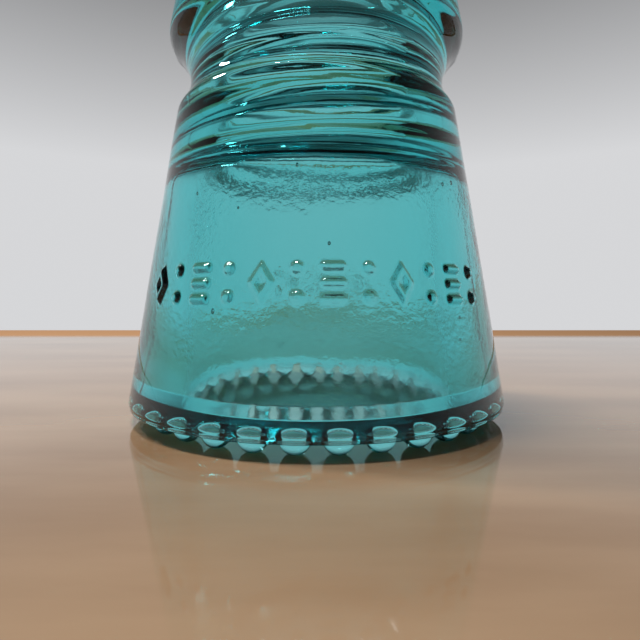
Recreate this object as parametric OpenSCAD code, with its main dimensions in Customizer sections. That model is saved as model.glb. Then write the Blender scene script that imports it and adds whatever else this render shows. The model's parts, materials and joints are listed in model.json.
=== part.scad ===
// Pin-type glass insulator, one pressed casting divided into its moulded features.
// Millimetres, +Z up. The origin is on the surface it stands on, in the middle.

/* [Overall] */
// Height from the drip points' tips to the top of the crown
height = 88.9; // [76:0.1:108]
// Radius of the skirt at its widest, just above the rounded rim
skirt_r = 28.6; // [26:0.1:36]

/* [Skirt] */
// Radius that the skirt's outside loses per millimetre of height
skirt_taper = 0.172; // [0.12:0.001:0.19]
// Radius of the rounded outer edge of the rim
rim_round = 1; // [0.6:0.05:1.4]
// Width of the level part of the rim's underside
flat_w = 1.6; // [0.8:0.05:2.4]
// Height of the lip, where the steep bevel ends and the cavity wall begins
lip_z = 4.6; // [4.2:0.1:7]
// Height of the steep bevel under the lip
bevel_h = 1.6; // [1.2:0.05:2]
// Radius that the steep bevel adds from the lip down to the sloping underside
bevel_w = 0.7; // [0.4:0.05:1.2]
// Thickness of the skirt's wall at the lip
lip_wall = 7.5; // [6:0.1:9]
// Radius that the cavity wall loses per millimetre of height
cavity_taper = 0.12; // [0.08:0.001:0.15]
// Height of the cavity's ceiling, where the pinhole begins
cavity_top = 36.5; // [34:0.1:42]
// Radius of the cavity's rounded upper corner
shoulder_round = 3.5; // [2:0.1:5]

/* [Wire groove] */
// Height of the middle of the wire groove
groove_z = 50; // [47:0.1:52]
// Radius of the groove's rounded section, which takes the tie wire
groove_round = 6.5; // [5:0.1:7.5]
// Radius of the neck at the bottom of the groove
neck_r = 19.4; // [18.5:0.1:20]
// Radius of the rounded ridge under the groove
low_round = 2.2; // [1.5:0.1:3]
// Radius of the rounded ridge over the groove
up_round = 2.2; // [1.5:0.1:3]
// Outer radius of the ridge over the groove
up_ridge_r = 22.3; // [21.5:0.1:24]

/* [Crown] */
// Radius of the crown's domed top
crown_round = 19.5; // [18:0.1:21]
// Thickness of the glass over the end of the pinhole
crown_thick = 12.9; // [10:0.1:16]

/* [Pinhole] */
// Radius of the plain round end of the pinhole
pin_end_r = 12.7; // [12:0.05:12.9]
// Length of the pinhole's plain end, with its rounded corner
pin_end_len = 7.5; // [5:0.1:10]
// Radius of the rounded corner at the closed end
pin_end_round = 1.5; // [0.5:0.1:2.5]
// Distance from one turn of the thread to the next
thread_pitch = 6.35; // [5:0.05:7.7]
// Depth of the thread
thread_depth = 1.4; // [1:0.05:1.6]
// Radius at the thread's roots, at the cavity's ceiling
thread_root_r = 15.3; // [15:0.05:15.6]
// Radius that the threaded hole loses per millimetre of height
thread_taper = 0.03125; // [0.02:0.0005:0.035]
// Width of the thread's ridge at its foot
thread_foot = 4.2; // [3:0.1:4.8]
// Width of the thread's ridge at its crest
thread_crest = 1.5; // [1:0.1:2]

/* [Drip points] */
// Number of drip points around the rim
drip_count = 32; // [16:1:40]
// Radius of one drip point
drip_r = 1.95; // [1.4:0.05:2.3]
// Height of a drip point, from its worn tip to the level part of the rim's underside
drip_h = 1.9; // [1.3:0.05:2.3]
// How much of a drip point's tip is worn away
drip_wear = 0.1; // [0.02:0.01:0.3]
// Level margin of the rim outside the drip points
drip_margin = 0.55; // [0.1:0.01:1]
// Turn of the drip points' circle, in degrees
drip_turn = 6.05; // [0:0.05:11]

/* [Raised marks] */
// Height of the middle of the band of marks
mark_z = 19.3; // [15:0.1:26]
// Height of a mark
mark_h = 4.6; // [3:0.1:6]
// Width of a mark
mark_w = 2.8; // [2:0.1:3.2]
// Width of a mark's strokes
mark_stroke = 0.9; // [0.6:0.05:1.1]
// How far a mark stands out of the skirt
mark_raise = 0.45; // [0.2:0.05:0.8]
// Marks on the front of the skirt
front_marks = 12; // [3:1:14]
// Marks on the back of the skirt
back_marks = 6; // [3:1:14]
// Angle from one mark to the next, in degrees
mark_step = 9; // [8.5:0.1:11]

/* [Mould seams] */
// Width of the ridge that the mould's joint leaves up each side
seam_w = 0.6; // [0.3:0.05:1]
// How far a side seam stands out
seam_raise = 0.15; // [0.1:0.05:0.4]
// Turn of the side seams from the side of the object, in degrees
seam_turn = 0; // [-30:1:30]
// Radius of the bead that the joint of the mould's base ring leaves
bead_r = 0.25; // [0.15:0.05:0.35]

/* [Hidden] */
$fn = 180;
glass_teal = [0.35, 0.70, 0.72];
glass_deep = [0.20, 0.58, 0.60];
glass_pale = [0.72, 0.88, 0.88];

// Overlap that carries a cut or a blank past the face it meets
past = 1;
// Outside limit for half-plane masks
beyond = 2 * height;

// A point on the unit circle at an angle in degrees
function unit(a) = [cos(a), sin(a)];
// The angle of a vector in degrees
function angle_of(v) = atan2(v.y, v.x);
// The unit normal of a line that touches circle 1 and then circle 2 on their right side
function tangent_normal(c1, r1, c2, r2) =
    let (d = c2 - c1)
    unit(angle_of(d) - acos((r1 - r2) / norm(d)));

// Skirt's outside: a straight line that touches the rounded rim
skirt_n = unit(atan(skirt_taper));
rim_c = [skirt_r - rim_round, drip_h + rim_round];
skirt_k = skirt_n * rim_c + rim_round;
function skirt_x(z) = (skirt_k - skirt_n.y * z) / skirt_n.x;

// Wire groove and the two ridges beside it
groove_c = [neck_r + groove_round, groove_z];
low_off = skirt_k - low_round - skirt_n * groove_c;
low_along = sqrt(pow(groove_round + low_round, 2) - pow(low_off, 2));
low_c = groove_c + low_off * skirt_n + low_along * [skirt_n.y, -skirt_n.x];
up_x = up_ridge_r - up_round;
up_c = [up_x, groove_z + sqrt(pow(groove_round + up_round, 2) - pow(groove_c.x - up_x, 2))];
// Angles from each ridge's centre to the groove's
low_a = angle_of(groove_c - low_c);
up_a = angle_of(groove_c - up_c);

// Crown
cap_c = [0, height - crown_round];
crown_n = tangent_normal(up_c, up_round, cap_c, crown_round);

// Cavity and pinhole
drip_c = rim_c.x - drip_margin - drip_r;
flat_r = rim_c.x - flat_w;
lip_r = skirt_x(lip_z) - lip_wall;
mouth = [lip_r + bevel_w, lip_z - bevel_h];
wall_n = unit(atan(cavity_taper));
wall_k = wall_n * [lip_r, lip_z];
shoulder_z = cavity_top - shoulder_round;
shoulder_c = [(wall_k - shoulder_round - wall_n.y * shoulder_z) / wall_n.x, shoulder_z];
pin_top = height - crown_thick;
pin_end_z = pin_top - pin_end_len;
function root_x(z) = thread_root_r - thread_taper * (z - cavity_top);
root_top = pin_end_z - (root_x(pin_end_z) - pin_end_r);

module disc(c, r) {
    translate(c) circle(r = r);
}

// The half section of the glass as if it had no hollow
module blank() {
    difference() {
        intersection() {
            union() {
                polygon([
                    [0, drip_h],
                    [rim_c.x, drip_h],
                    rim_c + rim_round * skirt_n,
                    low_c + low_round * skirt_n,
                    groove_c + groove_round * unit(low_a + 180),
                    groove_c + groove_round * unit(up_a + 180),
                    up_c + up_round * crown_n,
                    cap_c + crown_round * crown_n,
                    cap_c
                ]);
                disc(rim_c, rim_round);
                disc(low_c, low_round);
                disc(up_c, up_round);
                disc(cap_c, crown_round);
            }
            translate([0, drip_h]) square(beyond);
        }
        disc(groove_c, groove_round);
    }
}

// The half section of the cavity and the pinhole, to the thread's roots
module hollow() {
    polygon([
        [0, drip_h - past],
        [flat_r, drip_h - past],
        [flat_r, drip_h],
        mouth,
        [lip_r, lip_z],
        shoulder_c + shoulder_round * wall_n,
        [shoulder_c.x, cavity_top],
        [0, cavity_top]
    ]);
    disc(shoulder_c, shoulder_round);
    polygon([
        [0, shoulder_z],
        [root_x(shoulder_z), shoulder_z],
        [root_x(root_top), root_top],
        [pin_end_r, pin_end_z],
        [pin_end_r, pin_top - pin_end_round],
        [pin_end_r - pin_end_round, pin_top],
        [0, pin_top]
    ]);
    disc([pin_end_r - pin_end_round, pin_top - pin_end_round], pin_end_round);
}

// The glass between two heights, turned round the axis
module glass(z1, z2) {
    rotate_extrude()
        intersection() {
            difference() {
                blank();
                hollow();
            }
            translate([0, z1]) square([beyond, z2 - z1]);
        }
}

module crown() {
    color(glass_deep) glass(groove_z, height + past);
}

module skirt() {
    color(glass_teal) glass(0, groove_z);
}

// One cross-section of the thread's ridge, as points from its lower foot to its upper foot
function thread_section(z, turn, depth) = [
    for (p = [
        [0, -thread_foot / 2],
        [0.75, -(thread_foot + 3 * thread_crest) / 8],
        [1, -thread_crest / 2],
        [1, thread_crest / 2],
        [0.75, (thread_foot + 3 * thread_crest) / 8],
        [0, thread_foot / 2]
    ])
    let (
        zp = z + p.y,
        r = root_x(zp) - depth * p.x
    )
    [r * cos(turn), r * sin(turn), zp]
];

module pinhole_thread() {
    steps_per_turn = 48;
    fade_steps = 8;
    least_depth = 0.15;
    end_gap = 0.2;
    z1 = cavity_top + thread_foot / 2 + end_gap;
    z2 = root_top - thread_foot / 2 - end_gap;
    steps = floor((z2 - z1) / thread_pitch * steps_per_turn);
    points = [
        for (i = [0 : steps])
        let (
            fade = min(1, min(i, steps - i) / fade_steps),
            depth = thread_depth * (least_depth + (1 - least_depth) * fade)
        )
        each thread_section(z1 + thread_pitch * i / steps_per_turn, 360 * i / steps_per_turn, depth)
    ];
    sides = 6;
    color(glass_deep)
        polyhedron(points, [
            [for (j = [0 : sides - 1]) j],
            for (i = [0 : steps - 1], j = [0 : sides - 1])
                let (k = (j + 1) % sides)
                [sides * i + k, sides * i + j, sides * (i + 1) + j, sides * (i + 1) + k],
            [for (j = [sides - 1 : -1 : 0]) sides * steps + j]
        ], convexity = 10);
}

// A round-ended stud, which reaches up past the underside and down past its worn tip
module drip_stud() {
    translate([0, 0, drip_r - drip_wear]) {
        sphere(r = drip_r);
        cylinder(h = drip_h + mouth.y, r = drip_r);
    }
}

// The studs, cut off where they meet the underside and where the insulator stands on them
module drip_points() {
    color(glass_pale)
        intersection() {
            for (i = [0 : drip_count - 1])
                rotate(drip_turn + 360 * i / drip_count)
                    translate([drip_c, 0, 0]) drip_stud();
            rotate_extrude()
                polygon([[mouth.x, 0], [rim_c.x, 0], [rim_c.x, drip_h], [flat_r, drip_h], mouth]);
        }
}

// An outlined lozenge, lying flat
module lozenge() {
    difference() {
        polygon([[mark_w / 2, 0], [0, mark_h / 2], [-mark_w / 2, 0], [0, -mark_h / 2]]);
        polygon([
            [mark_w / 2 - mark_stroke, 0],
            [0, mark_h / 2 - mark_stroke * mark_h / mark_w],
            [mark_stroke - mark_w / 2, 0],
            [0, mark_stroke * mark_h / mark_w - mark_h / 2]
        ]);
    }
}

// Two dots, one over the other
module dots() {
    dot_r = 0.75 * mark_stroke;
    for (y = [-1, 1] * (mark_h / 2 - dot_r)) translate([0, y]) circle(r = dot_r);
}

// Three short level bars
module bars() {
    for (y = [-1, 0, 1] * (mark_h - mark_stroke) / 2)
        translate([0, y]) square([mark_w, mark_stroke], center = true);
}

// A centred row of marks on the skirt, in the order lozenge, dots, bars, dots
module mark_row(count) {
    reach = 4;
    for (i = [0 : count - 1])
        rotate((i - (count - 1) / 2) * mark_step)
            translate([skirt_x(mark_z) - reach / 2, 0, mark_z])
                rotate([90, 0, 90])
                    linear_extrude(height = reach) {
                        if (i % 4 == 0) lozenge();
                        if (i % 2 == 1) dots();
                        if (i % 4 == 2) bars();
                    }
}

module skirt_marks() {
    z1 = mark_z - mark_h;
    z2 = mark_z + mark_h;
    out = mark_raise / skirt_n.x;
    color(glass_pale)
        intersection() {
            rotate_extrude()
                polygon([
                    [skirt_x(z1), z1],
                    [skirt_x(z1) + out, z1],
                    [skirt_x(z2) + out, z2],
                    [skirt_x(z2), z2]
                ]);
            union() {
                rotate(-90) mark_row(front_marks);
                rotate(90) mark_row(back_marks);
            }
        }
}

// An arc in steps of about 4 degrees
function arc(c, r, a1, a2) =
    let (steps = ceil(abs(a2 - a1) / 4))
    [for (i = [0 : steps]) c + r * unit(a1 + (a2 - a1) * i / steps)];

// The outside of the glass from the rim's widest part to the top, moved outwards by an amount
function outside(grow) = concat(
    arc(rim_c, rim_round + grow, 0, angle_of(skirt_n)),
    arc(low_c, low_round + grow, angle_of(skirt_n), low_a),
    arc(groove_c, groove_round - grow, low_a + 180, up_a + 180),
    arc(up_c, up_round + grow, up_a, angle_of(crown_n)),
    arc(cap_c, crown_round + grow, angle_of(crown_n), 90)
);

module side_seams() {
    foot = outside(0);
    back = [for (i = [len(foot) - 1 : -1 : 0]) foot[i]];
    color(glass_pale)
        for (side = [0, 180])
            rotate(seam_turn + side)
                rotate([90, 0, 0])
                    linear_extrude(height = seam_w, center = true)
                        polygon(concat(outside(seam_raise), back));
}

// The line where the mould's base ring met its sides, just inside the rim's widest part
module base_seam() {
    seam_a = -50;
    color(glass_pale)
        rotate_extrude()
            difference() {
                disc(rim_c + rim_round * unit(seam_a), bead_r);
                blank();
            }
}

crown();
skirt();
pinhole_thread();
drip_points();
skirt_marks();
side_seams();
base_seam();
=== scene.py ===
"""Looks of a pressed-glass pin insulator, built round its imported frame.

The casting is one closed glass mesh: a surface of revolution that carries the thread, the
drip points, the raised marks, the mould seams and the waviness of pressed glass as real
shape. It stands in for every node of the frame, because faces between two glass solids
would bend the light that passes them.
"""

import json
import logging
import math
import random
from dataclasses import dataclass, field
from enum import Enum
from typing import Any, Callable

import bpy
import numpy as np
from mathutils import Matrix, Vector

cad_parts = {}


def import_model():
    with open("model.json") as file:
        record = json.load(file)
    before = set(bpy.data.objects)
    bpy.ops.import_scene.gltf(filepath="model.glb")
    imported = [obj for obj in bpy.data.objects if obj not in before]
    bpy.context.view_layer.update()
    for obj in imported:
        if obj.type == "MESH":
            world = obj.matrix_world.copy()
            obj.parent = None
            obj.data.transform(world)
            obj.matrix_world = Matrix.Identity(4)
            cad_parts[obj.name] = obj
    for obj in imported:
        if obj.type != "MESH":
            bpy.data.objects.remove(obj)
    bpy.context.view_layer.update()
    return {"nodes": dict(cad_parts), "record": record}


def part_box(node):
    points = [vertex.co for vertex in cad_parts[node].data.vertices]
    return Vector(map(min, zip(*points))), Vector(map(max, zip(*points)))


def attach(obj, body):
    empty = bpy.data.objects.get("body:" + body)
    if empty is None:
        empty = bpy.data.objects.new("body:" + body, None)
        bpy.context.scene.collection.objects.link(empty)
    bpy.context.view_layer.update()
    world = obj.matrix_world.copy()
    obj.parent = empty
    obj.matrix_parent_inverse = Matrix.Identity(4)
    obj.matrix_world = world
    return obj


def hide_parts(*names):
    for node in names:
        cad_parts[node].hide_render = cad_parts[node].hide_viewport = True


LOG = logging.getLogger("insulator")
MM = 0.001
TURN = 2.0 * math.pi


class Zone(Enum):
    """Part of the glass surface that a ring of points belongs to."""

    OUTSIDE = "outside"
    RIM = "rim"
    CAVITY = "cavity"
    PINHOLE = "pinhole"


class Mark(Enum):
    """Shape of one raised mark on the skirt."""

    LOZENGE = "lozenge"
    DOTS = "dots"
    BARS = "bars"


MARK_ORDER = (Mark.LOZENGE, Mark.DOTS, Mark.BARS, Mark.DOTS)


def unit(angle: float) -> np.ndarray:
    """Give the point on the unit circle at an angle in radians."""
    return np.array((math.cos(angle), math.sin(angle)))


def angle_of(vector: np.ndarray) -> float:
    """Give the angle of a plane vector in radians."""
    return math.atan2(vector[1], vector[0])


def smooth(low: float, high: float, value: np.ndarray) -> np.ndarray:
    """Ease from 0 at one value to 1 at another.

    Args:
        low: Where the result is 0.
        high: Where the result is 1.
        value: The values to ease.

    Returns:
        The eased values, from 0 to 1.
    """
    t = np.clip((value - low) / (high - low), 0.0, 1.0)
    return t * t * (3.0 - 2.0 * t)


@dataclass(frozen=True)
class Sizes:
    """Sizes of the casting in metres. Those without a default are read from the frame."""

    height: float
    skirt_r: float
    groove_z: float
    drip_h: float
    drip_c: float
    drip_r: float
    drip_turn: float
    thread_low: float
    thread_high: float
    pin_end_r: float
    pin_end_low: float
    pin_end_high: float
    up_ridge_r: float
    mark_z: float
    mark_h: float
    drip_count: int = 32
    drip_wear: float = 0.1 * MM
    skirt_taper: float = 0.172
    rim_round: float = 1.0 * MM
    flat_w: float = 1.6 * MM
    bevel_h: float = 1.6 * MM
    bevel_w: float = 0.7 * MM
    neck_r: float = 19.4 * MM
    groove_round: float = 6.5 * MM
    ridge_round: float = 2.2 * MM
    crown_round: float = 19.5 * MM
    lip_z: float = 4.6 * MM
    lip_wall: float = 7.5 * MM
    cavity_taper: float = 0.12
    cavity_top: float = 36.5 * MM
    shoulder_round: float = 3.5 * MM
    thread_root_r: float = 15.3 * MM
    thread_taper: float = 1.0 / 32.0
    thread_pitch: float = 6.35 * MM
    thread_depth: float = 1.4 * MM
    thread_start: float = 2.1 * MM
    thread_half_crest: float = 0.6 * MM
    thread_half_foot: float = 2.2 * MM
    pin_end_round: float = 1.5 * MM
    mark_raise: float = 0.45 * MM
    mark_w: float = 2.8 * MM
    mark_stroke: float = 0.9 * MM
    mark_step: float = math.radians(9.0)
    front_marks: int = 12
    back_marks: int = 6
    seam_w: float = 0.6 * MM
    seam_raise: float = 0.15 * MM
    seam_turn: float = math.radians(0.0)
    seam_soft: float = 0.45
    seam_spread: float = 0.6
    bead_r: float = 0.25 * MM
    bead_spread: float = 0.9
    bead_angle: float = math.radians(-50.0)

    @classmethod
    def from_frame(cls, record: dict[str, Any]) -> "Sizes":
        """Read the casting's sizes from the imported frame.

        Args:
            record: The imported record, for its mounts.

        Returns:
            The sizes, in metres.
        """
        mounts = {mount["name"]: mount for mount in record["mounts"]}
        pinhole = mounts["pinhole"]
        half_length = pinhole["dims"]["length_mm"] * MM / 2.0
        rest = mounts["base_rest"]["pos_m"]
        skirt_low, skirt_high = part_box("skirt")
        crown_low, crown_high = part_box("crown")
        thread_low, thread_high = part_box("pinhole_thread")
        marks_low, marks_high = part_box("skirt_marks")
        drips_low, drips_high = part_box("drip_points")
        drip_h = skirt_low.z
        drip_c = math.hypot(rest[0], rest[1])
        drip_turn = math.atan2(rest[1], rest[0])
        spacing = TURN / cls.drip_count
        off_side = abs((drip_turn + spacing / 2.0) % spacing - spacing / 2.0)
        return cls(
            height=crown_high.z,
            skirt_r=(skirt_high.x - skirt_low.x) / 2.0,
            groove_z=mounts["wire_groove"]["pos_m"][2],
            drip_h=drip_h,
            drip_c=drip_c,
            drip_r=drips_high.x - drip_c * math.cos(off_side),
            drip_turn=drip_turn,
            thread_low=thread_low.z,
            thread_high=thread_high.z,
            pin_end_r=pinhole["dims"]["r_mm"] * MM,
            pin_end_low=pinhole["pos_m"][2] - half_length,
            pin_end_high=pinhole["pos_m"][2] + half_length,
            up_ridge_r=crown_high.x,
            mark_z=(marks_low.z + marks_high.z) / 2.0,
            mark_h=marks_high.z - marks_low.z,
        )


@dataclass
class Outline:
    """Half section of the glass, traced as points with their outward normals and spacing."""

    points: list[np.ndarray] = field(default_factory=list)
    normals: list[np.ndarray] = field(default_factory=list)

    def arc(self, centre: np.ndarray, radius: float, start: float, end: float, step: float,
            hollow: bool = False) -> None:
        """Add an arc.

        Args:
            centre: The arc's centre, as radius and height.
            radius: The arc's radius.
            start: The first angle in radians.
            end: The last angle in radians.
            step: The distance between points.
            hollow: True where the glass lies outside the arc.
        """
        count = max(2, math.ceil(abs(end - start) * radius / step))
        sign = -1.0 if hollow else 1.0
        for i in range(count + 1):
            direction = unit(start + (end - start) * i / count)
            self.add(centre + radius * direction, sign * direction)

    def line(self, end: np.ndarray, normal: np.ndarray, step: float) -> None:
        """Add a straight stretch from the last point.

        Args:
            end: The last point of the stretch.
            normal: The outward normal along it.
            step: The distance between points.
        """
        start = self.points[-1]
        count = max(1, math.ceil(float(np.linalg.norm(end - start)) / step))
        for i in range(1, count + 1):
            self.add(start + (end - start) * i / count, normal)

    def add(self, point: np.ndarray, normal: np.ndarray) -> None:
        """Add one point, unless it repeats the last one."""
        if self.points and float(np.linalg.norm(point - self.points[-1])) < 1e-7:
            return
        self.points.append(np.asarray(point, float))
        self.normals.append(np.asarray(normal, float))

    def chain(self, corners: list[tuple[float, float, float]], step: float) -> None:
        """Add straight stretches with rounded corners.

        Args:
            corners: Radius, height and rounding of each corner. The first is the start.
            step: The distance between points.
        """
        places = [np.array(corner[:2]) for corner in corners]
        last = len(places) - 1
        self.add(places[0], self._left(places[1] - places[0]))
        for i in range(1, last):
            before = places[i] - places[i - 1]
            after = places[i + 1] - places[i]
            bend = angle_of(after) - angle_of(before)
            bend = (bend + math.pi) % TURN - math.pi
            rounding = corners[i][2]
            cut = rounding * abs(math.tan(bend / 2.0))
            n1 = self._left(before)
            self.line(places[i] - before / np.linalg.norm(before) * cut, n1, step)
            if rounding > 0.0:
                side = math.copysign(1.0, bend)
                centre = self.points[-1] + side * rounding * n1
                start = angle_of(-side * n1)
                fine = min(step, rounding * abs(bend) / 4.0)
                self.arc(centre, rounding, start, start + bend, fine, hollow=side > 0.0)
        self.line(places[last], self._left(places[last] - places[last - 1]), step)

    @staticmethod
    def _left(direction: np.ndarray) -> np.ndarray:
        """Give the unit vector to the left of a direction."""
        length = float(np.linalg.norm(direction))
        return np.array((-direction[1], direction[0])) / length


@dataclass
class Ring:
    """One level circle of points on the glass surface."""

    radius: float
    z: float
    normal: np.ndarray
    zone: Zone
    columns: int


@dataclass(frozen=True)
class Waviness:
    """Slow unevenness of a pressed surface, as a sum of waves that close round the axis."""

    height: float
    waves: int
    most_turns: int
    shortest: float
    seed: int

    def field(self, angle: np.ndarray, z: np.ndarray) -> np.ndarray:
        """Work out the unevenness.

        Args:
            angle: Angles round the axis in radians.
            z: Heights in metres.

        Returns:
            The distance along the normal in metres.
        """
        draw = random.Random(self.seed)
        total = np.zeros(np.broadcast(angle, z).shape)
        weight = 0.0
        for _ in range(self.waves):
            turns = draw.randint(1, self.most_turns)
            lengthwise = draw.uniform(-1.0, 1.0) * TURN / self.shortest
            phase = draw.uniform(0.0, TURN)
            size = 1.0 / (1.0 + 2.0 * turns / self.most_turns)
            total += size * np.sin(turns * angle + lengthwise * z + phase)
            weight += size * size
        return self.height * total / math.sqrt(weight)


class Relief:
    """Everything that stands out of the turned shape, as a distance along its normal."""

    outside_wave = Waviness(0.028 * MM, 18, 9, 14.0 * MM, 3)
    outside_ripple = Waviness(0.006 * MM, 26, 40, 3.5 * MM, 11)
    cavity_wave = Waviness(0.05 * MM, 22, 12, 10.0 * MM, 5)
    cavity_ripple = Waviness(0.010 * MM, 40, 60, 3.0 * MM, 17)

    def __init__(self, sizes: Sizes) -> None:
        """Keep the sizes that place the features."""
        self.sizes = sizes

    def at(self, ring: Ring, angle: np.ndarray) -> np.ndarray:
        """Work out the relief round one ring.

        Args:
            ring: The ring.
            angle: The angles of its points.

        Returns:
            The distance along the ring's normal for each point.
        """
        z = np.full_like(angle, ring.z)
        if ring.zone is Zone.PINHOLE:
            return self.thread(angle, z) + self.cavity_ripple.field(angle, z)
        if ring.zone is Zone.CAVITY:
            ease = smooth(2.0 * MM, 7.0 * MM, z)
            return ease * (self.cavity_wave.field(angle, z) + self.cavity_ripple.field(angle, z))
        if ring.zone is Zone.RIM:
            return np.zeros_like(angle)
        return self.outside(ring, angle, z)

    def outside(self, ring: Ring, angle: np.ndarray, z: np.ndarray) -> np.ndarray:
        """Work out the relief of the outside: waves, seams and marks.

        Args:
            ring: The ring.
            angle: The angles of its points.
            z: The heights of its points.

        Returns:
            The distance along the ring's normal for each point.
        """
        s = self.sizes
        widest = s.drip_h + s.rim_round
        ease = smooth(widest, widest + 5.0 * MM, z)
        ease *= 1.0 - smooth(s.height - 6.0 * MM, s.height - 1.0 * MM, z)
        wave = self.outside_wave.field(angle, z) + self.outside_ripple.field(angle, z)
        return ease * wave + self.side_seams(ring, angle) + self.base_seam(ring) + self.marks(ring, angle)

    def side_seams(self, ring: Ring, angle: np.ndarray) -> np.ndarray:
        """Work out the two seams up the sides and over the crown, softened as a worn seam is."""
        s = self.sizes
        off = ring.radius * np.sin(angle - s.seam_turn)
        ridge = s.seam_soft * np.exp(-((off / (s.seam_spread * s.seam_w)) ** 2))
        widest = s.drip_h + s.rim_round
        return s.seam_raise * ridge * float(smooth(widest, widest + 1.0 * MM, np.array(ring.z)))

    def base_seam(self, ring: Ring) -> float:
        """Work out the seam of the mould's base ring, on the rim's rounded edge."""
        s = self.sizes
        centre = np.array((s.skirt_r - s.rim_round, s.drip_h + s.rim_round))
        seam = centre + s.rim_round * unit(s.bead_angle)
        off = float(np.linalg.norm(np.array((ring.radius, ring.z)) - seam))
        return s.bead_r * math.exp(-((off / (s.bead_spread * s.bead_r)) ** 2))

    def marks(self, ring: Ring, angle: np.ndarray) -> np.ndarray:
        """Work out the raised marks in their band round the skirt."""
        s = self.sizes
        total = np.zeros_like(angle)
        level = ring.z - s.mark_z
        if abs(level) > 0.75 * s.mark_h:
            return total
        for middle, count in ((-math.pi / 2.0, s.front_marks), (math.pi / 2.0, s.back_marks)):
            for i in range(count):
                place = middle + (i - (count - 1) / 2.0) * s.mark_step
                off = (angle - place + math.pi) % TURN - math.pi
                total = np.maximum(total, self._mark(MARK_ORDER[i % 4], ring.radius * off, level))
        return s.mark_raise * total

    def _mark(self, mark: Mark, u: np.ndarray, v: float) -> np.ndarray:
        """Work out how high one mark stands.

        Args:
            mark: The mark's shape.
            u: Distances across the mark from its middle.
            v: Height above the mark's middle.

        Returns:
            A share of the mark's full height for each distance.
        """
        s = self.sizes
        half_stroke = s.mark_stroke / 2.0
        if mark is Mark.LOZENGE:
            slope = s.mark_h / s.mark_w
            reach = s.mark_w / 2.0 - s.mark_stroke / 2.0
            across = np.abs(u) + abs(v) / slope - reach
            off = np.abs(across) * slope / math.hypot(1.0, slope)
        elif mark is Mark.DOTS:
            centre = s.mark_h / 2.0 - 0.75 * s.mark_stroke
            off = np.hypot(u, abs(v) - centre) - 0.25 * s.mark_stroke
        else:
            gap = (s.mark_h - s.mark_stroke) / 2.0
            nearest = min(abs(v), abs(abs(v) - gap))
            off = np.hypot(np.maximum(np.abs(u) - s.mark_w / 2.0 + half_stroke, 0.0), nearest)
        return 1.0 - smooth(0.45 * half_stroke, 1.35 * half_stroke, off)

    def thread(self, angle: np.ndarray, z: np.ndarray) -> np.ndarray:
        """Work out the ridge of the pinhole's right-hand thread."""
        s = self.sizes
        start = s.thread_low + s.thread_start
        along = (z - start) / s.thread_pitch - angle / TURN
        off = np.abs(along - np.round(along)) * s.thread_pitch
        ridge = 1.0 - smooth(s.thread_half_crest, s.thread_half_foot, off)
        ease = smooth(s.thread_low - 0.4 * MM, s.thread_low + 1.2 * MM, z)
        ease *= 1.0 - smooth(s.thread_high - 3.0 * MM, s.thread_high + 0.6 * MM, z)
        return s.thread_depth * ridge * ease


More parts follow.
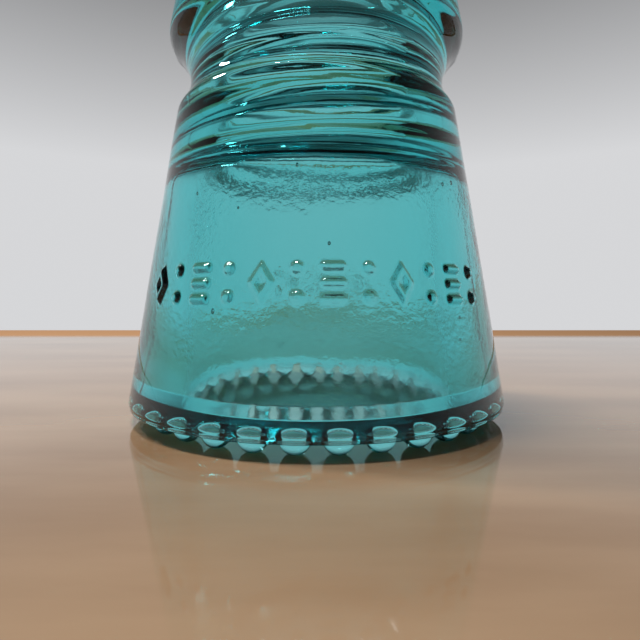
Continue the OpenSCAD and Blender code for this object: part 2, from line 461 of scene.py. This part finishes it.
class Casting:
    """The glass casting: its half section, its relief and its closed mesh."""

    coarse = 192
    plain = 384
    fine = 768
    side_steps = 6
    cell_share = 1.12
    band_share = 0.62
    pinhole_edge = 0.45 * MM
    end_step = 1.6 * MM
    seeds = 26

    def __init__(self, sizes: Sizes) -> None:
        """Keep the sizes and start an empty mesh."""
        self.sizes = sizes
        self.relief = Relief(sizes)
        self.points: list[np.ndarray] = []
        self.inside: list[float] = []
        self.faces: list[tuple[int, ...]] = []

    # The half section -----------------------------------------------------------------

    def skirt_line(self) -> tuple[np.ndarray, np.ndarray, float]:
        """Work out the skirt's straight side.

        Returns:
            The centre of the rim's rounding, the side's outward normal, and the side's
            distance from the origin along that normal.
        """
        s = self.sizes
        rim_c = np.array((s.skirt_r - s.rim_round, s.drip_h + s.rim_round))
        skirt_n = unit(math.atan(s.skirt_taper))
        return rim_c, skirt_n, float(skirt_n @ rim_c) + s.rim_round

    def skirt_x(self, z: float) -> float:
        """Give the radius of the skirt's side at a height."""
        _, skirt_n, skirt_k = self.skirt_line()
        return (skirt_k - skirt_n[1] * z) / skirt_n[0]

    def lip_r(self) -> float:
        """Give the cavity's radius at the lip."""
        return self.skirt_x(self.sizes.lip_z) - self.sizes.lip_wall

    def cell_reach(self) -> float:
        """Give how far past the flat underside the drip points' cells reach, up the rounding."""
        s = self.sizes
        return s.drip_c + self.cell_share * s.drip_r - (s.skirt_r - s.rim_round)

    def underside(self, radius: np.ndarray) -> np.ndarray:
        """Give the height of the rim's underside at each radius."""
        s = self.sizes
        off = np.clip(radius - (s.skirt_r - s.rim_round), 0.0, s.rim_round)
        curve = s.rim_round - np.sqrt(s.rim_round ** 2 - off ** 2)
        flat_r = s.skirt_r - s.rim_round - s.flat_w
        slope = (s.lip_z - s.bevel_h - s.drip_h) / (flat_r - self.lip_r() - s.bevel_w)
        return s.drip_h + curve + slope * np.clip(flat_r - radius, 0.0, None)

    def outer_rings(self) -> list[Ring]:
        """Trace the outside from the top of the crown down to the rim's flat underside.

        Returns:
            The rings, top first.
        """
        s = self.sizes
        rim_c, skirt_n, skirt_k = self.skirt_line()
        skirt_a = math.atan(s.skirt_taper)
        groove_c = np.array((s.neck_r + s.groove_round, s.groove_z))
        reach = s.groove_round + s.ridge_round
        low_off = skirt_k - s.ridge_round - float(skirt_n @ groove_c)
        low_along = math.sqrt(reach ** 2 - low_off ** 2)
        low_c = groove_c + low_off * skirt_n + low_along * np.array((skirt_n[1], -skirt_n[0]))
        up_x = s.up_ridge_r - s.ridge_round
        up_c = np.array((up_x, s.groove_z + math.sqrt(reach ** 2 - (groove_c[0] - up_x) ** 2)))
        cap_c = np.array((0.0, s.height - s.crown_round))
        span = cap_c - up_c
        lean = math.acos((s.ridge_round - s.crown_round) / float(np.linalg.norm(span)))
        crown_a = angle_of(span) - lean
        crown_n = unit(crown_a)
        low_a = angle_of(groove_c - low_c)
        up_a = angle_of(groove_c - up_c)
        trace = Outline()
        trace.arc(cap_c, s.crown_round, math.pi / 2.0 - 0.02, crown_a, 1.0 * MM)
        trace.line(up_c + s.ridge_round * crown_n, crown_n, 1.0 * MM)
        trace.arc(up_c, s.ridge_round, crown_a, up_a, 0.35 * MM)
        trace.arc(groove_c, s.groove_round, up_a + math.pi, low_a + math.pi, 0.5 * MM, hollow=True)
        trace.arc(low_c, s.ridge_round, low_a, skirt_a, 0.35 * MM)
        marks_high = s.mark_z + self.band_share * s.mark_h
        marks_low = s.mark_z - self.band_share * s.mark_h
        for z, step in ((marks_high, 1.0 * MM), (marks_low, 0.26 * MM)):
            trace.line(np.array((self.skirt_x(z), z)), skirt_n, step)
        trace.line(rim_c + s.rim_round * skirt_n, skirt_n, 1.1 * MM)
        last_a = -math.acos(max(0.0, self.cell_reach()) / s.rim_round)
        trace.arc(rim_c, s.rim_round, skirt_a, last_a, 0.14 * MM)
        rings = []
        for point, normal in zip(trace.points, trace.normals):
            columns = self.plain
            if point[1] > s.groove_z:
                columns = self.coarse
            elif marks_low - 0.1 * MM < point[1] < marks_high + 0.1 * MM:
                columns = self.fine
            rings.append(Ring(point[0], point[1], normal, Zone.OUTSIDE, columns))
        rings[-1].zone = Zone.RIM
        return rings

    def inner_rings(self) -> list[Ring]:
        """Trace the hollow from the rim's inner edge up to the end of the pinhole.

        Returns:
            The rings, lowest first.
        """
        s = self.sizes
        lip_r = self.lip_r()
        wall_a = math.atan(s.cavity_taper)
        wall_n = unit(wall_a)
        shoulder_z = s.cavity_top - s.shoulder_round
        shoulder_k = float(wall_n @ np.array((lip_r, s.lip_z))) - s.shoulder_round
        shoulder_c = np.array(((shoulder_k - wall_n[1] * shoulder_z) / wall_n[0], shoulder_z))
        wall_end = shoulder_c + s.shoulder_round * wall_n
        edge_a = math.acos((s.thread_root_r + self.pinhole_edge - shoulder_c[0]) / s.shoulder_round)
        edge = shoulder_c + s.shoulder_round * unit(edge_a)
        edge_z = edge[1] + self.pinhole_edge / math.tan(edge_a)
        root_top = s.pin_end_low - self.end_step
        root_r = s.thread_root_r - s.thread_taper * (root_top - s.cavity_top)
        end_top = s.pin_end_high + s.pin_end_round
        low = Outline()
        cell_r = s.drip_c - self.cell_share * s.drip_r
        low.chain([
            (cell_r, float(self.underside(np.array(cell_r))), 0.0),
            (lip_r + s.bevel_w, s.lip_z - s.bevel_h, 0.4 * MM),
            (lip_r, s.lip_z, 0.9 * MM),
            (wall_end[0], wall_end[1], 0.0),
        ], 1.1 * MM)
        low.arc(shoulder_c, s.shoulder_round, wall_a, edge_a, 0.5 * MM, hollow=True)
        high = Outline()
        high.chain([
            (edge[0], edge[1], 0.0),
            (s.thread_root_r, edge_z, 0.5 * MM),
            (root_r, root_top, 0.8 * MM),
            (s.pin_end_r, s.pin_end_low, 0.8 * MM),
            (s.pin_end_r, end_top, s.pin_end_round),
            (0.4 * MM, end_top, 0.0),
        ], 0.6 * MM)
        rings = [Ring(p[0], p[1], n, Zone.CAVITY, self.coarse) for p, n in zip(low.points, low.normals)]
        rings += [
            Ring(p[0], p[1], n, Zone.PINHOLE, self.coarse)
            for p, n in zip(high.points[1:], high.normals[1:])
        ]
        rings[0].zone = Zone.RIM
        rings[0].columns = self.plain
        return rings

    # The mesh -------------------------------------------------------------------------

    def angles(self, columns: int, gather: float) -> np.ndarray:
        """Give the angles of a ring's points, drawn closer together at the side seams.

        Args:
            columns: How many points the ring has.
            gather: How far they are drawn together, from 0 to 1.

        Returns:
            The angles in radians.
        """
        s = self.sizes
        first = s.drip_turn - math.pi / s.drip_count
        angle = first + TURN * np.arange(columns) / columns
        reach = math.radians(4.0)
        for seam in (s.seam_turn, s.seam_turn + math.pi):
            off = (angle - seam + math.pi) % TURN - math.pi
            angle = angle - 0.78 * gather * off * np.exp(-((off / reach) ** 2))
        return angle

    def add_points(self, places: np.ndarray, inside: float) -> list[int]:
        """Add points to the mesh.

        Args:
            places: Their places, one row each.
            inside: 1 on the hollow's surface and 0 elsewhere.

        Returns:
            Their numbers.
        """
        first = len(self.points)
        self.points.extend(places)
        self.inside.extend([inside] * len(places))
        return list(range(first, first + len(places)))

    def add_ring(self, ring: Ring) -> list[int]:
        """Add one ring of points, with its relief.

        Args:
            ring: The ring.

        Returns:
            The numbers of its points.
        """
        s = self.sizes
        gather = 0.0
        if ring.zone is Zone.OUTSIDE:
            gather = float(smooth(s.drip_h + s.rim_round, s.drip_h + 4.0 * MM, np.array(ring.z)))
        angle = self.angles(ring.columns, gather)
        relief = self.relief.at(ring, angle)
        radius = ring.radius + relief * ring.normal[0]
        height = ring.z + relief * ring.normal[1]
        inside = 1.0 if ring.zone in (Zone.CAVITY, Zone.PINHOLE) else 0.0
        return self.add_points(
            np.column_stack((radius * np.cos(angle), radius * np.sin(angle), height)), inside
        )

    def stitch(self, upper: list[int], lower: list[int]) -> None:
        """Join two rings whose numbers of points are equal or in the ratio 1 to 2.

        Args:
            upper: The ring that comes first along the outline.
            lower: The ring that comes next.
        """
        m, n = len(upper), len(lower)
        if m == n:
            for i in range(m):
                k = (i + 1) % m
                self.faces.append((upper[i], lower[i], lower[k], upper[k]))
        elif n == 2 * m:
            for i in range(m):
                k, a, b, c = (i + 1) % m, 2 * i, 2 * i + 1, (2 * i + 2) % n
                self.faces.append((upper[i], lower[a], lower[b]))
                self.faces.append((upper[i], lower[b], upper[k]))
                self.faces.append((upper[k], lower[b], lower[c]))
        elif m == 2 * n:
            for i in range(n):
                k, a, b, c = (i + 1) % n, 2 * i, 2 * i + 1, (2 * i + 2) % m
                self.faces.append((lower[i], upper[b], upper[a]))
                self.faces.append((lower[i], lower[k], upper[b]))
                self.faces.append((lower[k], upper[c], upper[b]))
        else:
            raise ValueError(f"rings of {m} and {n} points cannot be joined")

    def close(self, ring: list[int], place: tuple[float, float, float], inside: float, first: bool) -> None:
        """Close the end of the surface with a fan round one point.

        Args:
            ring: The last ring.
            place: The point on the axis.
            inside: 1 on the hollow's surface and 0 elsewhere.
            first: True if the fan comes before the ring along the outline.
        """
        tip = self.add_points(np.array([place]), inside)[0]
        for i in range(len(ring)):
            k = (i + 1) % len(ring)
            self.faces.append((tip, ring[i], ring[k]) if first else (tip, ring[k], ring[i]))

    def add_drips(self, outer: list[int], inner: list[int], mouth_r: float, edge_r: float) -> None:
        """Add the rim's flat underside with its drip points, one cell for each.

        Args:
            outer: The ring at the underside's outer edge.
            inner: The ring at its inner edge.
            mouth_r: Radius of the inner edge.
            edge_r: Radius of the outer edge.
        """
        s = self.sizes
        per_cell = self.plain // s.drip_count
        angle = self.angles(self.plain, 0.0)
        sides = []
        for cell in range(s.drip_count):
            a = angle[cell * per_cell]
            radii = mouth_r + (edge_r - mouth_r) * np.arange(1, self.side_steps) / self.side_steps
            places = np.column_stack((radii * math.cos(a), radii * math.sin(a), self.underside(radii)))
            sides.append(self.add_points(places, 0.0))
        for cell in range(s.drip_count):
            here, there = cell * per_cell, (cell + 1) * per_cell
            arc = [outer[i % self.plain] for i in range(here, there + 1)]
            back = [inner[i % self.plain] for i in range(there, here - 1, -1)]
            loop = sides[cell] + arc + sides[(cell + 1) % s.drip_count][::-1] + back
            self.add_drip(loop, s.drip_turn + TURN * cell / s.drip_count)

    def add_drip(self, loop: list[int], angle: float) -> None:
        """Fill one cell of the underside with a drip point.

        Args:
            loop: The cell's edge, anticlockwise seen from above.
            angle: The drip point's angle round the axis.
        """
        s = self.sizes
        draw = random.Random(round(angle * 1000))
        centre = np.array((s.drip_c * math.cos(angle), s.drip_c * math.sin(angle)))
        edge = np.array([self.points[i][:2] for i in loop])
        turn = np.arctan2(edge[:, 1] - centre[1], edge[:, 0] - centre[0])
        round_edge = centre + s.drip_r * np.column_stack((np.cos(turn), np.sin(turn)))
        rings = [loop]
        for ring in ((edge + round_edge) / 2.0, round_edge):
            rings.append(self.add_points(self._level(ring, self.underside(np.hypot(*ring.T))), 0.0))
        swell = 1.0 - 0.03 * draw.random()
        steps = 10
        for i in range(steps):
            rise = i / steps * math.pi / 2.0
            share = swell * math.cos(rise)
            height = max(0.0, s.drip_r * (1.0 - math.sin(rise)) - s.drip_wear)
            ring = centre + share * (round_edge - centre)
            rings.append(self.add_points(self._level(ring, height), 0.0))
        for one, two in zip(rings, rings[1:]):
            self.stitch(one, two)
        self.close(rings[-1], (centre[0], centre[1], 0.0), 0.0, first=False)

    @staticmethod
    def _level(plane: np.ndarray, z: float | np.ndarray) -> np.ndarray:
        """Lift plane points to a height, or each to its own."""
        return np.column_stack((plane, np.broadcast_to(z, len(plane))))

    def add_seeds(self, count: int) -> None:
        """Add seeds, the small bubbles in the skirt's wall, as closed shells that face inwards.

        Args:
            count: How many seeds there are.
        """
        s = self.sizes
        draw = random.Random(29)
        rings, sides = 6, 10
        for _ in range(count):
            angle = draw.uniform(0.0, TURN)
            z = draw.uniform(7.0 * MM, 34.0 * MM)
            outer = s.skirt_r - s.skirt_taper * z
            radius = outer - draw.uniform(1.2 * MM, 5.0 * MM)
            size = draw.uniform(0.09 * MM, 0.26 * MM)
            long = draw.uniform(1.0, 1.9)
            centre = np.array((radius * math.cos(angle), radius * math.sin(angle), z))
            last = None
            for i in range(1, rings):
                rise = math.pi * i / rings
                turn = TURN * np.arange(sides) / sides
                ring = centre + size * np.column_stack((
                    math.sin(rise) * np.cos(turn),
                    math.sin(rise) * np.sin(turn),
                    np.full(sides, -long * math.cos(rise)),
                ))
                numbers = self.add_points(ring, 0.0)
                if last is None:
                    self.close(numbers, tuple(centre - (0.0, 0.0, size * long)), 0.0, first=True)
                else:
                    self.stitch(last, numbers)
                last = numbers
            self.close(last, tuple(centre + (0.0, 0.0, size * long)), 0.0, first=False)

    def build(self) -> bpy.types.Object:
        """Build the closed mesh.

        Returns:
            The object, with its shading set smooth.
        """
        s = self.sizes
        outer, inner = self.outer_rings(), self.inner_rings()
        numbers = [self.add_ring(ring) for ring in outer]
        self.close(numbers[0], (0.0, 0.0, s.height + s.seam_soft * s.seam_raise), 0.0, first=True)
        for one, two in zip(numbers, numbers[1:]):
            self.stitch(one, two)
        hollow = [self.add_ring(ring) for ring in inner]
        self.add_drips(numbers[-1], hollow[0], inner[0].radius, outer[-1].radius)
        for one, two in zip(hollow, hollow[1:]):
            self.stitch(one, two)
        self.close(hollow[-1], (0.0, 0.0, inner[-1].z), 1.0, first=False)
        self.add_seeds(self.seeds)
        mesh = bpy.data.meshes.new("glass_casting")
        mesh.from_pydata([tuple(point) for point in self.points], [], self.faces)
        mesh.attributes.new("inside", "FLOAT", "POINT").data.foreach_set("value", self.inside)
        mesh.shade_smooth()
        mesh.update()
        piece = bpy.data.objects.new("glass_casting", mesh)
        bpy.context.scene.collection.objects.link(piece)
        return piece


@dataclass(frozen=True)
class TealGlass:
    """Clear teal pressed glass, bright where it is polished by the mould and duller inside."""

    slot: str = "teal_glass"
    index: float = 1.52
    density: float = 140.0
    colour: tuple[float, float, float, float] = (0.03, 0.815, 0.835, 1.0)
    frost: float = 0.15
    dent_depth: float = 0.14 * MM
    fine_depth: float = 0.02 * MM
    skin_depth: float = 0.03 * MM
    skin_scale: float = 260.0
    dent_scale: float = 1300.0
    patch_scale: float = 70.0
    fine_scale: float = 900.0

    def make(self) -> bpy.types.Material:
        """Build the glass.

        Returns:
            The material.
        """
        material = bpy.data.materials.new(self.slot)
        material.use_nodes = True
        tree = material.node_tree
        shader = tree.nodes["Principled BSDF"]
        output = tree.nodes["Material Output"]
        shader.inputs["Base Color"].default_value = (1.0, 1.0, 1.0, 1.0)
        shader.inputs["Transmission Weight"].default_value = 1.0
        shader.inputs["IOR"].default_value = self.index
        volume = tree.nodes.new("ShaderNodeVolumeAbsorption")
        volume.inputs["Color"].default_value = self.colour
        volume.inputs["Density"].default_value = self.density
        tree.links.new(volume.outputs["Volume"], output.inputs["Volume"])
        self._finish(tree, shader)
        return material

    def _finish(self, tree: bpy.types.NodeTree, shader: bpy.types.Node) -> None:
        """Give the surface its dullness, its fine unevenness and its wear.

        Args:
            tree: The material's nodes.
            shader: The glass shader.
        """
        place = tree.nodes.new("ShaderNodeTexCoord").outputs["Object"]
        attribute = tree.nodes.new("ShaderNodeAttribute")
        attribute.attribute_name = "inside"
        inside = attribute.outputs["Fac"]
        split = tree.nodes.new("ShaderNodeSeparateXYZ")
        tree.links.new(place, split.inputs["Vector"])
        skin = self._noise(tree, place, self.skin_scale, 2.0)
        hammered = self._noise(tree, place, self.dent_scale, 3.0)
        patchy = self._noise(tree, place, self.patch_scale, 3.0)
        patches = self._range(tree, patchy, (0.34, 0.68), (0.1, 1.0))
        low = self._range(tree, split.outputs["Z"], (0.005, 0.02), (1.0, 0.25))
        haze = self._range(tree, patches, (0.0, 1.0), (0.4, 1.0))
        frost = self._multiply(tree, self._multiply(tree, haze, low), inside)
        polish = self._range(tree, skin, (0.35, 0.75), (0.0, 0.04))
        extra = tree.nodes.new("ShaderNodeMath")
        extra.operation = "MULTIPLY_ADD"
        extra.inputs[1].default_value = self.frost
        tree.links.new(frost, extra.inputs[0])
        tree.links.new(polish, extra.inputs[2])
        tree.links.new(extra.outputs["Value"], shader.inputs["Roughness"])
        below = self._range(tree, split.outputs["Z"], (0.0315, 0.0345), (1.0, 0.1))
        dents = self._multiply(tree, self._multiply(tree, hammered, inside), patches)
        calm = self._range(tree, split.outputs["Z"], (0.007, 0.016), (0.22, 1.0))
        dents = self._multiply(tree, self._multiply(tree, dents, below), calm)
        normal = self._bump(tree, dents, 0.9, self.dent_depth, None)
        fine = self._noise(tree, place, self.fine_scale, 3.0)
        normal = self._bump(tree, fine, 0.12, self.fine_depth, normal)
        normal = self._bump(tree, skin, 0.5, self.skin_depth, normal)
        tree.links.new(normal, shader.inputs["Normal"])

    @staticmethod
    def _range(tree: bpy.types.NodeTree, value: bpy.types.NodeSocket, low_high: tuple[float, float],
               result: tuple[float, float]) -> bpy.types.NodeSocket:
        """Map a value from one range to another, clamped.

        Args:
            tree: The material's nodes.
            value: The value.
            low_high: The range it comes from.
            result: The range it goes to.

        Returns:
            The mapped value.
        """
        node = tree.nodes.new("ShaderNodeMapRange")
        node.inputs["From Min"].default_value, node.inputs["From Max"].default_value = low_high
        node.inputs["To Min"].default_value, node.inputs["To Max"].default_value = result
        tree.links.new(value, node.inputs["Value"])
        return node.outputs["Result"]

    @staticmethod
    def _multiply(tree: bpy.types.NodeTree, one: bpy.types.NodeSocket,
                  two: bpy.types.NodeSocket) -> bpy.types.NodeSocket:
        """Multiply two values.

        Args:
            tree: The material's nodes.
            one: The first value.
            two: The second value.

        Returns:
            Their product.
        """
        node = tree.nodes.new("ShaderNodeMath")
        node.operation = "MULTIPLY"
        tree.links.new(one, node.inputs[0])
        tree.links.new(two, node.inputs[1])
        return node.outputs["Value"]

    @staticmethod
    def _bump(tree: bpy.types.NodeTree, height: bpy.types.NodeSocket, strength: float, depth: float,
              normal: bpy.types.NodeSocket | None) -> bpy.types.NodeSocket:
        """Add a bump on top of another.

        Args:
            tree: The material's nodes.
            height: The bump's height, from 0 to 1.
            strength: The bump's strength.
            depth: The bump's depth in metres.
            normal: The normal under it, if any.

        Returns:
            The new normal.
        """
        node = tree.nodes.new("ShaderNodeBump")
        node.inputs["Strength"].default_value = strength
        node.inputs["Distance"].default_value = depth
        tree.links.new(height, node.inputs["Height"])
        if normal is not None:
            tree.links.new(normal, node.inputs["Normal"])
        return node.outputs["Normal"]

    @staticmethod
    def _noise(tree: bpy.types.NodeTree, place: bpy.types.NodeSocket, scale: float,
               detail: float) -> bpy.types.NodeSocket:
        """Add a noise texture.

        Args:
            tree: The material's nodes.
            place: The coordinates.
            scale: The noise's scale, per metre.
            detail: The noise's detail.

        Returns:
            The noise's value.
        """
        noise = tree.nodes.new("ShaderNodeTexNoise")
        noise.inputs["Scale"].default_value = scale
        noise.inputs["Detail"].default_value = detail
        tree.links.new(place, noise.inputs["Vector"])
        return noise.outputs["Fac"]


@dataclass(frozen=True)
class Wood:
    """Pale varnished wood of the table, bare and warmer along its far edge."""

    pale: tuple[float, float, float, float] = (0.265, 0.17, 0.10, 1.0)
    dark: tuple[float, float, float, float] = (0.18, 0.105, 0.055, 1.0)
    edge: tuple[float, float, float, float] = (0.34, 0.19, 0.10, 1.0)
    edge_from: float = 0.155
    edge_blend: float = 0.02
    grain: tuple[float, float, float] = (14.0, 60.0, 14.0)
    roughness: float = 0.12
    varnish_index: float = 1.5
    varnish_roughness: float = 0.05

    def make(self) -> bpy.types.Material:
        """Build the wood.

        Returns:
            The material.
        """
        material = bpy.data.materials.new("table_wood")
        material.use_nodes = True
        tree = material.node_tree
        shader = tree.nodes["Principled BSDF"]
        place = tree.nodes.new("ShaderNodeTexCoord").outputs["Object"]
        stretch = tree.nodes.new("ShaderNodeVectorMath")
        stretch.operation = "MULTIPLY"
        stretch.inputs[1].default_value = self.grain
        tree.links.new(place, stretch.inputs[0])
        grain = tree.nodes.new("ShaderNodeTexNoise")
        grain.inputs["Scale"].default_value = 1.0
        grain.inputs["Detail"].default_value = 6.0
        tree.links.new(stretch.outputs["Vector"], grain.inputs["Vector"])
        ramp = tree.nodes.new("ShaderNodeValToRGB")
        ramp.color_ramp.elements[0].position = 0.3
        ramp.color_ramp.elements[0].color = self.dark
        ramp.color_ramp.elements[1].position = 0.62
        ramp.color_ramp.elements[1].color = self.pale
        tree.links.new(grain.outputs["Fac"], ramp.inputs["Fac"])
        split = tree.nodes.new("ShaderNodeSeparateXYZ")
        tree.links.new(place, split.inputs["Vector"])
        far = tree.nodes.new("ShaderNodeMapRange")
        far.inputs["From Min"].default_value = self.edge_from
        far.inputs["From Max"].default_value = self.edge_from + self.edge_blend
        tree.links.new(split.outputs["Y"], far.inputs["Value"])
        mix = tree.nodes.new("ShaderNodeMix")
        mix.data_type = "RGBA"
        tree.links.new(far.outputs["Result"], mix.inputs["Factor"])
        tree.links.new(ramp.outputs["Color"], mix.inputs["A"])
        mix.inputs["B"].default_value = self.edge
        tree.links.new(mix.outputs["Result"], shader.inputs["Base Color"])
        shader.inputs["Roughness"].default_value = self.roughness
        shine = tree.nodes.new("ShaderNodeMath")
        shine.operation = "SUBTRACT"
        shine.inputs[0].default_value = 1.0
        tree.links.new(far.outputs["Result"], shine.inputs[1])
        tree.links.new(shine.outputs["Value"], shader.inputs["Coat Weight"])
        shader.inputs["Coat IOR"].default_value = self.varnish_index
        shader.inputs["Coat Roughness"].default_value = self.varnish_roughness
        shader.inputs["Specular IOR Level"].default_value = 0.0
        return material


@dataclass
class Studio:
    """Floor, backdrop, lights and camera."""

    eye_distance: float = 80.8 * MM
    eye_height: float = 17.2 * MM
    eye_side: float = 0.53 * MM
    tilt: float = math.radians(2.1)
    lens: float = 28.1
    floor_back: float = 0.22
    floor_front: float = -0.6
    floor_half: float = 0.6
    floor_thick: float = 0.03
    sky: tuple[float, float, float, float] = (0.67, 0.675, 0.69, 1.0)
    sky_behind_eye: float = 0.3
    sky_overhead: float = 0.2

    def floor(self) -> None:
        """Make the table, a slab whose back edge shows behind the object."""
        w, t = self.floor_half, self.floor_thick
        corners = [(x, y, z) for z in (-t, 0.0) for y in (self.floor_front, self.floor_back) for x in (-w, w)]
        faces = [(0, 2, 3, 1), (4, 5, 7, 6), (0, 1, 5, 4), (2, 6, 7, 3), (0, 4, 6, 2), (1, 3, 7, 5)]
        mesh = bpy.data.meshes.new("floor")
        mesh.from_pydata(corners, [], faces)
        mesh.materials.append(Wood().make())
        floor = bpy.data.objects.new("floor", mesh)
        bpy.context.scene.collection.objects.link(floor)

    def lights(self) -> None:
        """Make the surroundings and the soft lamps."""
        world = bpy.data.worlds.new("studio")
        world.use_nodes = True
        tree = world.node_tree
        split = tree.nodes.new("ShaderNodeSeparateXYZ")
        tree.links.new(tree.nodes.new("ShaderNodeTexCoord").outputs["Generated"], split.inputs["Vector"])
        back = tree.nodes.new("ShaderNodeMapRange")
        back.inputs["From Min"].default_value, back.inputs["From Max"].default_value = -0.5, 0.5
        back.inputs["To Min"].default_value, back.inputs["To Max"].default_value = self.sky_behind_eye, 1.0
        tree.links.new(split.outputs["Y"], back.inputs["Value"])
        above = tree.nodes.new("ShaderNodeMapRange")
        above.inputs["From Min"].default_value, above.inputs["From Max"].default_value = 0.25, 0.6
        above.inputs["To Min"].default_value, above.inputs["To Max"].default_value = 1.0, self.sky_overhead
        tree.links.new(split.outputs["Z"], above.inputs["Value"])
        level = tree.nodes.new("ShaderNodeMath")
        level.operation = "MULTIPLY"
        tree.links.new(back.outputs["Result"], level.inputs[0])
        tree.links.new(above.outputs["Result"], level.inputs[1])
        background = tree.nodes["Background"]
        background.inputs["Color"].default_value = self.sky
        tree.links.new(level.outputs["Value"], background.inputs["Strength"])
        bpy.context.scene.world = world
        self._lamp("key", (-0.1, 0.0, 0.55), 0.12, 3.4)
        self._lamp("glint", (-0.3, 0.12, 0.4), 0.05, 1.5)

    @staticmethod
    def _lamp(name: str, place: tuple[float, float, float], size: float, power: float) -> None:
        """Make one soft square lamp that faces the object.

        Args:
            name: The lamp's name.
            place: Where it hangs.
            size: Its side in metres.
            power: Its power in watts.
        """
        light = bpy.data.lights.new(name, "AREA")
        light.size = size
        light.energy = power
        lamp = bpy.data.objects.new(name, light)
        lamp.location = place
        towards = Vector((0.0, 0.0, 0.03)) - Vector(place)
        lamp.rotation_euler = towards.to_track_quat("-Z", "Y").to_euler()
        bpy.context.scene.collection.objects.link(lamp)

    def camera(self) -> None:
        """Make the camera, near the object at the height of the skirt's middle."""
        data = bpy.data.cameras.new("eye")
        data.lens = self.lens
        data.sensor_width = 36.0
        data.clip_start = 2.0 * MM
        data.clip_end = 20.0
        eye = bpy.data.objects.new("eye", data)
        eye.location = (self.eye_side, -self.eye_distance, self.eye_height)
        eye.rotation_euler = (math.pi / 2.0 - self.tilt, 0.0, 0.0)
        bpy.context.scene.collection.objects.link(eye)
        bpy.context.scene.camera = eye


def main() -> None:
    """Build the casting and its studio in order, and log the sizes and the casting's counts."""
    logging.basicConfig(level=logging.INFO, format="%(name)s: %(message)s")
    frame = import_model()
    sizes = Sizes.from_frame(frame["record"])
    LOG.info("sizes: %s", sizes)
    studio = Studio()
    studio.camera()
    studio.floor()
    studio.lights()
    casting = Casting(sizes).build()
    casting.data.materials.append(TealGlass().make())
    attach(casting, "root")
    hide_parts(*sorted(frame["nodes"]))
    LOG.info("casting: %d points, %d faces", len(casting.data.vertices), len(casting.data.polygons))
    scene = bpy.context.scene
    scene.view_settings.view_transform = "Standard"
    scene.cycles.max_bounces = 32
    scene.cycles.transmission_bounces = 32


if __name__ == "__main__":
    main()
